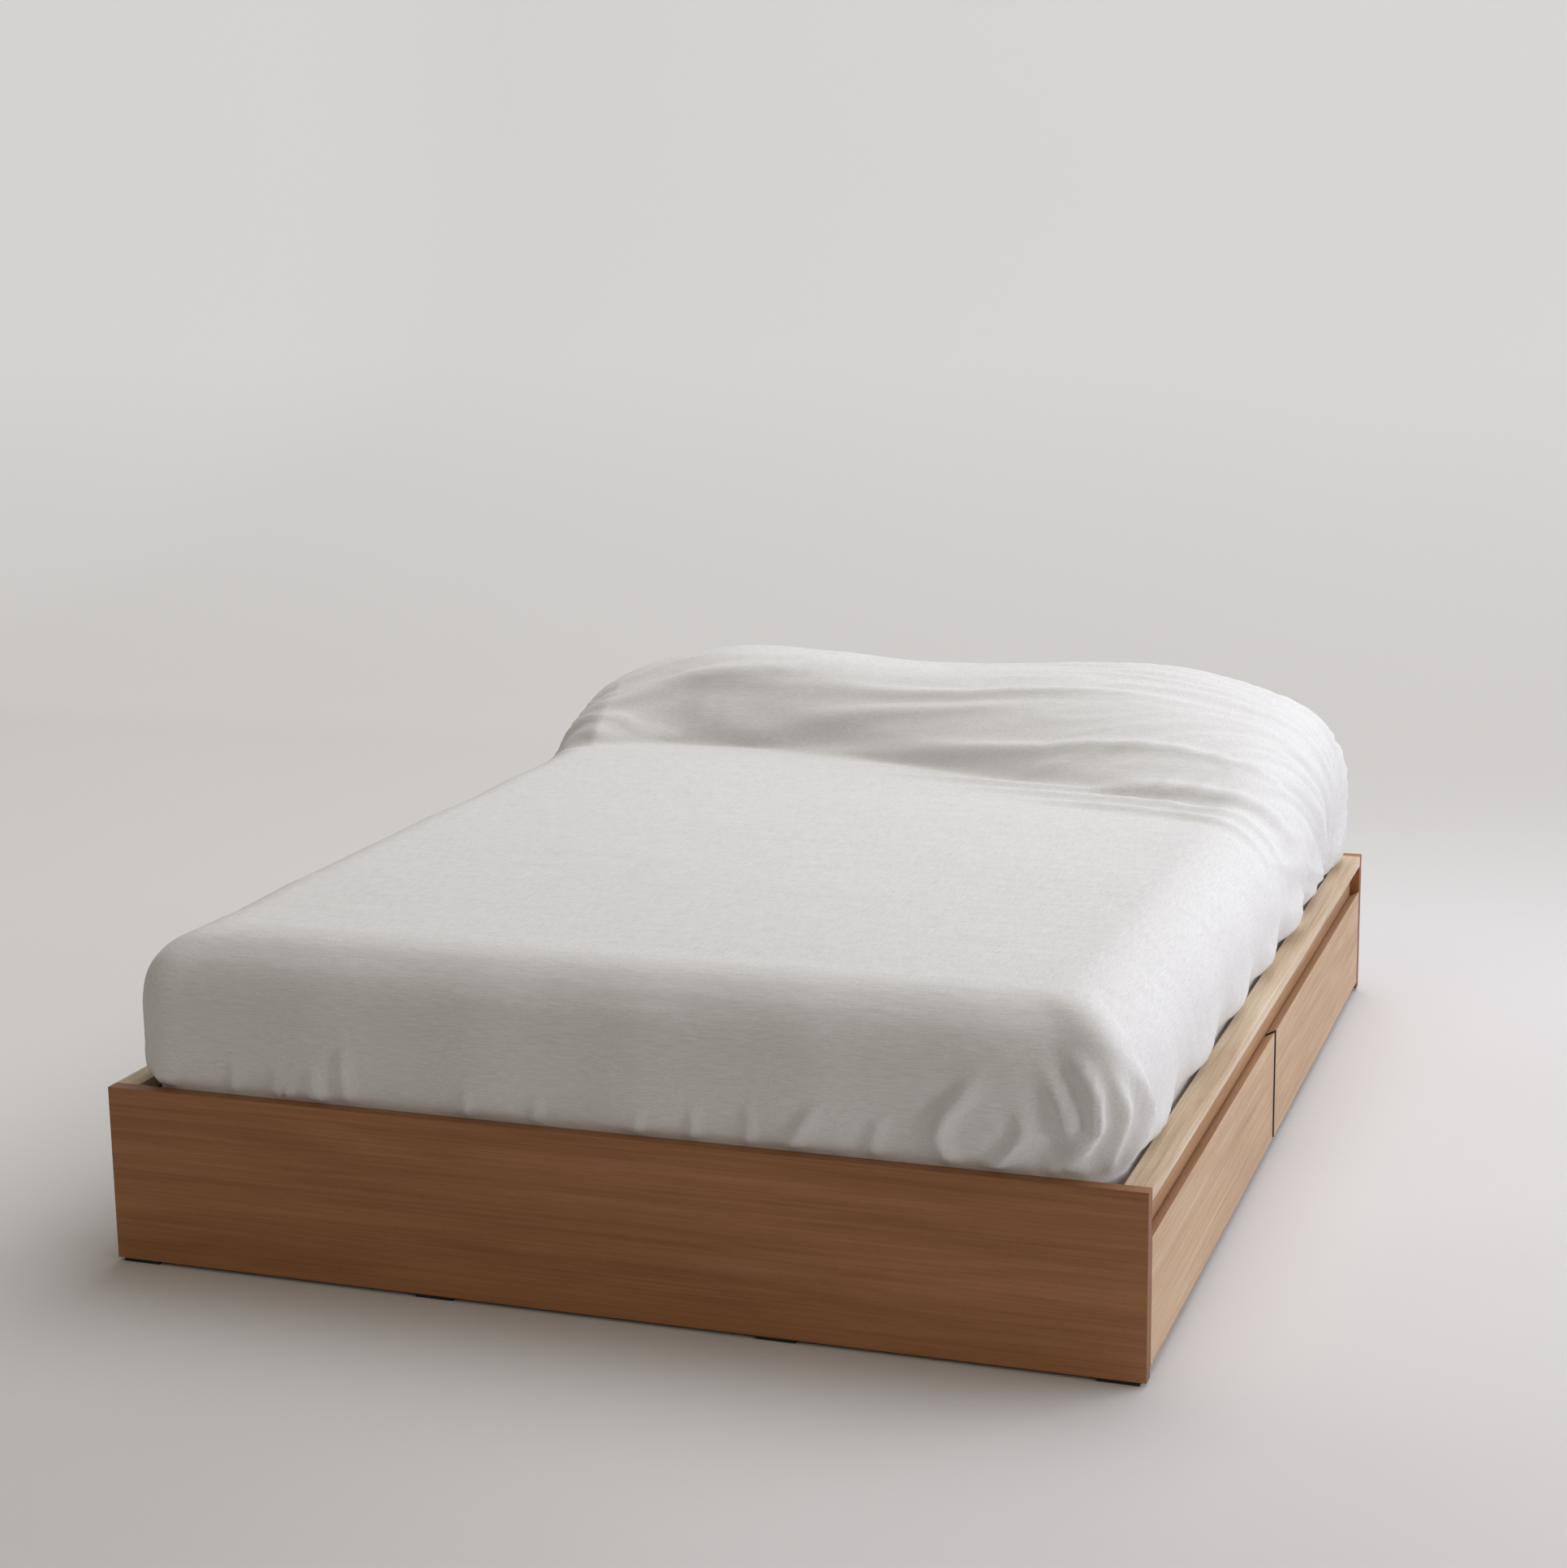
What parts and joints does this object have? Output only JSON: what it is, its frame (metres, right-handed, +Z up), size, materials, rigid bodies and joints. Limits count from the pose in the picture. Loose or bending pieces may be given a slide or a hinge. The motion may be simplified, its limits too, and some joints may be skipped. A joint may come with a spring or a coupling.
{
  "type": "platform bed",
  "caption": "Low wooden box platform bed with side storage drawers under a slatted base, with mattress, pillows and a tucked cotton bedcover.",
  "frame": {"origin": "on the floor under the middle of the bed", "axes": "+Z up, +Y towards the head end, +X towards the side shown with drawers"},
  "size_m": [1.62, 2.07, 0.6848],
  "materials": {
    "oak_panel": "oak veneer, horizontal grain, matt lacquer",
    "oak_pale": "oak veneer, grain along the bed, matt lacquer",
    "oak_apron": "oak veneer, grain along the bed, matt lacquer",
    "birch_ply": "sanded birch plywood",
    "black_glide": "moulded black plastic",
    "zinc_steel": "zinc-plated steel",
    "mattress_ticking": "knitted ticking",
    "pillow_cotton": "plain cotton",
    "cover_cotton": "crumpled off-white cotton"
  },
  "bodies": {
    "frame": {"footboard": "oak_panel", "head_panel": "oak_panel", "cap_right": "oak_pale", "cap_left": "oak_pale", "apron_right": "oak_apron", "apron_left": "oak_apron", "centre_spine": "birch_ply", "divider_right": "birch_ply", "divider_left": "birch_ply", "slat_ledger_right": "birch_ply", "slat_ledger_left": "birch_ply", "slats": "birch_ply", "floor_glides": "black_glide", "corner_brackets": "zinc_steel", "bracket_screws": "zinc_steel", "mattress": "mattress_ticking", "pillow_right": "pillow_cotton", "pillow_left": "pillow_cotton", "bedcover": "cover_cotton", "rail_screws": "zinc_steel", "right_foot_cabinet_rails": "zinc_steel", "right_head_cabinet_rails": "zinc_steel", "left_foot_cabinet_rails": "zinc_steel", "left_head_cabinet_rails": "zinc_steel"},
    "right_foot_drawer": {"right_foot_drawer_rails": "zinc_steel", "right_foot_drawer_front": "oak_pale", "right_foot_drawer_outer_side": "birch_ply", "right_foot_drawer_inner_side": "birch_ply", "right_foot_drawer_back": "birch_ply", "right_foot_drawer_bottom": "birch_ply", "right_foot_drawer_screws": "zinc_steel"},
    "right_foot_middle_rails": {"right_foot_middle_rails": "zinc_steel"},
    "right_head_drawer": {"right_head_drawer_rails": "zinc_steel", "right_head_drawer_front": "oak_pale", "right_head_drawer_outer_side": "birch_ply", "right_head_drawer_inner_side": "birch_ply", "right_head_drawer_back": "birch_ply", "right_head_drawer_bottom": "birch_ply", "right_head_drawer_screws": "zinc_steel"},
    "right_head_middle_rails": {"right_head_middle_rails": "zinc_steel"},
    "left_foot_drawer": {"left_foot_drawer_rails": "zinc_steel", "left_foot_drawer_front": "oak_pale", "left_foot_drawer_outer_side": "birch_ply", "left_foot_drawer_inner_side": "birch_ply", "left_foot_drawer_back": "birch_ply", "left_foot_drawer_bottom": "birch_ply", "left_foot_drawer_screws": "zinc_steel"},
    "left_foot_middle_rails": {"left_foot_middle_rails": "zinc_steel"},
    "left_head_drawer": {"left_head_drawer_rails": "zinc_steel", "left_head_drawer_front": "oak_pale", "left_head_drawer_outer_side": "birch_ply", "left_head_drawer_inner_side": "birch_ply", "left_head_drawer_back": "birch_ply", "left_head_drawer_bottom": "birch_ply", "left_head_drawer_screws": "zinc_steel"},
    "left_head_middle_rails": {"left_head_middle_rails": "zinc_steel"}
  },
  "joints": [
    {"name": "right_foot_drawer_slide", "type": "slide", "parent": "frame", "child": "right_foot_drawer", "axis": [1, 0, 0], "range_m": [0, 0.5]},
    {"name": "right_foot_middle_slide", "type": "slide", "parent": "frame", "child": "right_foot_middle_rails", "axis": [1, 0, 0], "range_m": [0, 0.25]},
    {"name": "right_head_drawer_slide", "type": "slide", "parent": "frame", "child": "right_head_drawer", "axis": [1, 0, 0], "range_m": [0, 0.5]},
    {"name": "right_head_middle_slide", "type": "slide", "parent": "frame", "child": "right_head_middle_rails", "axis": [1, 0, 0], "range_m": [0, 0.25]},
    {"name": "left_foot_drawer_slide", "type": "slide", "parent": "frame", "child": "left_foot_drawer", "axis": [-1, 0, 0], "range_m": [0, 0.5]},
    {"name": "left_foot_middle_slide", "type": "slide", "parent": "frame", "child": "left_foot_middle_rails", "axis": [-1, 0, 0], "range_m": [0, 0.25]},
    {"name": "left_head_drawer_slide", "type": "slide", "parent": "frame", "child": "left_head_drawer", "axis": [-1, 0, 0], "range_m": [0, 0.5]},
    {"name": "left_head_middle_slide", "type": "slide", "parent": "frame", "child": "left_head_middle_rails", "axis": [-1, 0, 0], "range_m": [0, 0.25]}
  ],
  "couplings": [
    {"joint": "right_foot_middle_slide", "follows": "right_foot_drawer_slide", "ratio": 0.5},
    {"joint": "right_head_middle_slide", "follows": "right_head_drawer_slide", "ratio": 0.5},
    {"joint": "left_foot_middle_slide", "follows": "left_foot_drawer_slide", "ratio": 0.5},
    {"joint": "left_head_middle_slide", "follows": "left_head_drawer_slide", "ratio": 0.5}
  ]
}
